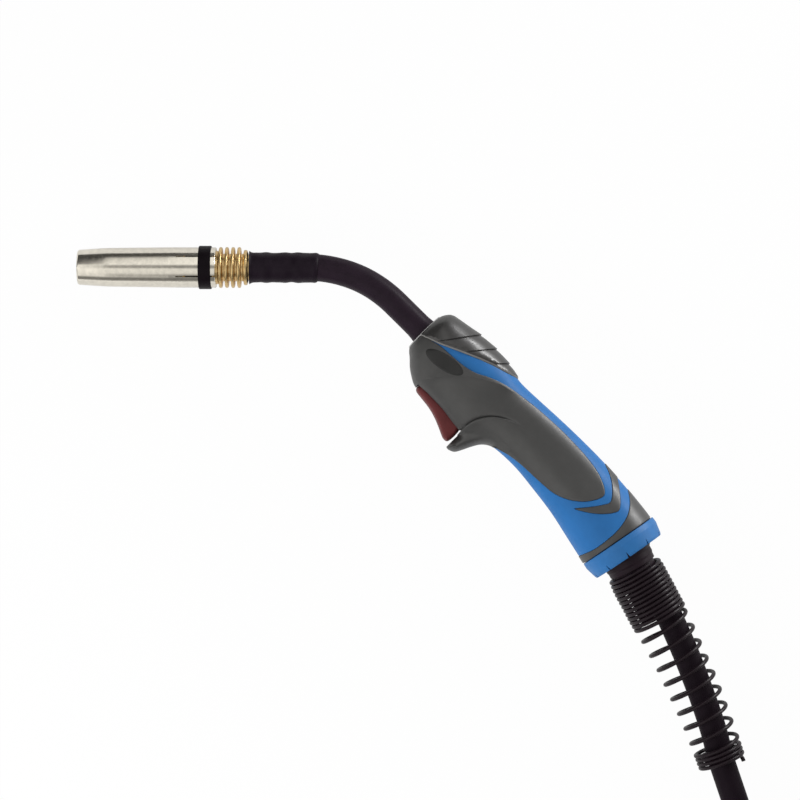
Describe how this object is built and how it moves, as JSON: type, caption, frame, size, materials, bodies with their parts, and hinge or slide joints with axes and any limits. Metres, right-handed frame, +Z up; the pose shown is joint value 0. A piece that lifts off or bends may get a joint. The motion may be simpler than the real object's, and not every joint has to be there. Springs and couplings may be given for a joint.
{
  "type": "mig welding torch",
  "caption": "Hand-held arc welding torch: bent neck that swivels in a trigger handle, pull-off gas nozzle, and a ball-jointed, spring-guarded cable coiled to its central plug.",
  "frame": {"origin": "middle of the torch's footprint on the bench, its free cable, coil and plug left out", "axes": "+X from the nozzle end to the cable end, +Y to the handle's back, +Z up from the bench; the torch lies on its right side"},
  "size_m": [0.7728, 0.2331, 0.0513],
  "materials": {
    "nickel": "polished nickel plate",
    "brass": "machined brass",
    "copper": "machined copper",
    "white_ceramic": "fired ceramic",
    "black_band": "black insulating ring",
    "black_hose": "shrunk black hose",
    "steel": "plain steel",
    "liner_grey": "wound wire",
    "seal_black": "rubber",
    "shell_blue": "moulded, satin",
    "pad_grey": "soft moulded grip",
    "cover_grey": "moulded, glossy",
    "trigger_red": "moulded, satin",
    "black_plastic": "moulded",
    "white_plastic": "moulded",
    "spring_black": "black coated wire",
    "cable_black": "cable sheath",
    "strap_grey": "woven strap"
  },
  "bodies": {
    "hose": {"cable_support": "black_plastic", "support_spring": "spring_black", "power_cable": "cable_black", "cable_lead": "cable_black", "cable_coil": "cable_black", "coil_ties": "strap_grey", "connector_boot": "cable_black", "connector_body": "black_plastic", "connector_core": "brass", "connector_oring": "seal_black"},
    "liner": {"ball_liner": "white_plastic"},
    "handle": {"handle_shell_left": "shell_blue", "handle_shell_right": "shell_blue", "grip_pad_left": "pad_grey", "grip_pad_right": "pad_grey", "top_cover": "cover_grey", "handle_screws": "steel", "rear_collar": "shell_blue", "swivel_socket": "brass", "inner_cable": "cable_black", "trigger_pin": "steel", "trigger_spring": "steel", "switch_body": "black_plastic", "switch_wires": "white_plastic"},
    "trigger": {"trigger": "trigger_red"},
    "plunger": {"switch_plunger": "white_plastic"},
    "neck": {"neck_tube": "steel", "neck_hose": "black_hose", "neck_sleeve": "black_hose", "neck_head": "brass", "wire_liner": "liner_grey", "neck_spigot": "brass", "spigot_oring": "seal_black", "spigot_clip": "steel", "tip_holder": "brass", "gas_diffuser": "white_ceramic", "contact_tip": "copper"},
    "nozzle": {"gas_nozzle": "nickel", "nozzle_band": "black_band"},
    "nut": {"connector_nut": "black_plastic"},
    "upper_pin": {"contact_pin_upper": "brass"},
    "lower_pin": {"contact_pin_lower": "brass"}
  },
  "joints": [
    {"name": "handle_pitch", "type": "hinge", "parent": "hose", "child": "liner", "pos_m": [0.10354, 0.04617, 0.02522], "axis": [0, 1, 0], "range_deg": [-5, 16], "deforming": ["inner_cable"]},
    {"name": "handle_yaw", "type": "hinge", "parent": "liner", "child": "handle", "pos_m": [0.10354, 0.04617, 0.02522], "axis": [-0.0417, 0, 0.9991], "range_deg": [-21, 9], "deforming": ["inner_cable"]},
    {"name": "neck_swivel", "type": "hinge", "parent": "handle", "child": "neck", "pos_m": [-0.067, 0.052, 0.01809], "axis": [-0.9991, 0, -0.0417], "continuous": true},
    {"name": "nozzle_pull", "type": "slide", "parent": "neck", "child": "nozzle", "axis": [-0.7065, -0.7071, -0.0295], "range_m": [0, 0.09]},
    {"name": "trigger_press", "type": "hinge", "parent": "handle", "child": "trigger", "pos_m": [-0.04452, 0.0305, 0.01903], "axis": [-0.0417, 0, 0.9991], "range_deg": [0, 5], "stiffness_Nm_per_rad": 0.86, "springref_deg": -5.73, "deforming": ["trigger_spring"]},
    {"name": "plunger_press", "type": "slide", "parent": "handle", "child": "plunger", "axis": [0, 1, 0], "range_m": [0, 0.0018]},
    {"name": "nut_spin", "type": "hinge", "parent": "hose", "child": "nut", "pos_m": [0.3017, 0.12715, 0.0255], "axis": [-0.9962, -0.0872, 0], "continuous": true},
    {"name": "upper_pin_press", "type": "slide", "parent": "hose", "child": "upper_pin", "axis": [0.9962, 0.0872, 0], "range_m": [0, 0.003], "stiffness_N_per_m": 600, "springref_m": -0.002},
    {"name": "lower_pin_press", "type": "slide", "parent": "hose", "child": "lower_pin", "axis": [0.9962, 0.0872, 0], "range_m": [0, 0.003], "stiffness_N_per_m": 600, "springref_m": -0.002}
  ],
  "couplings": [
    {"joint": "plunger_press", "follows": "trigger_press", "m_per_rad": 0.0199}
  ]
}
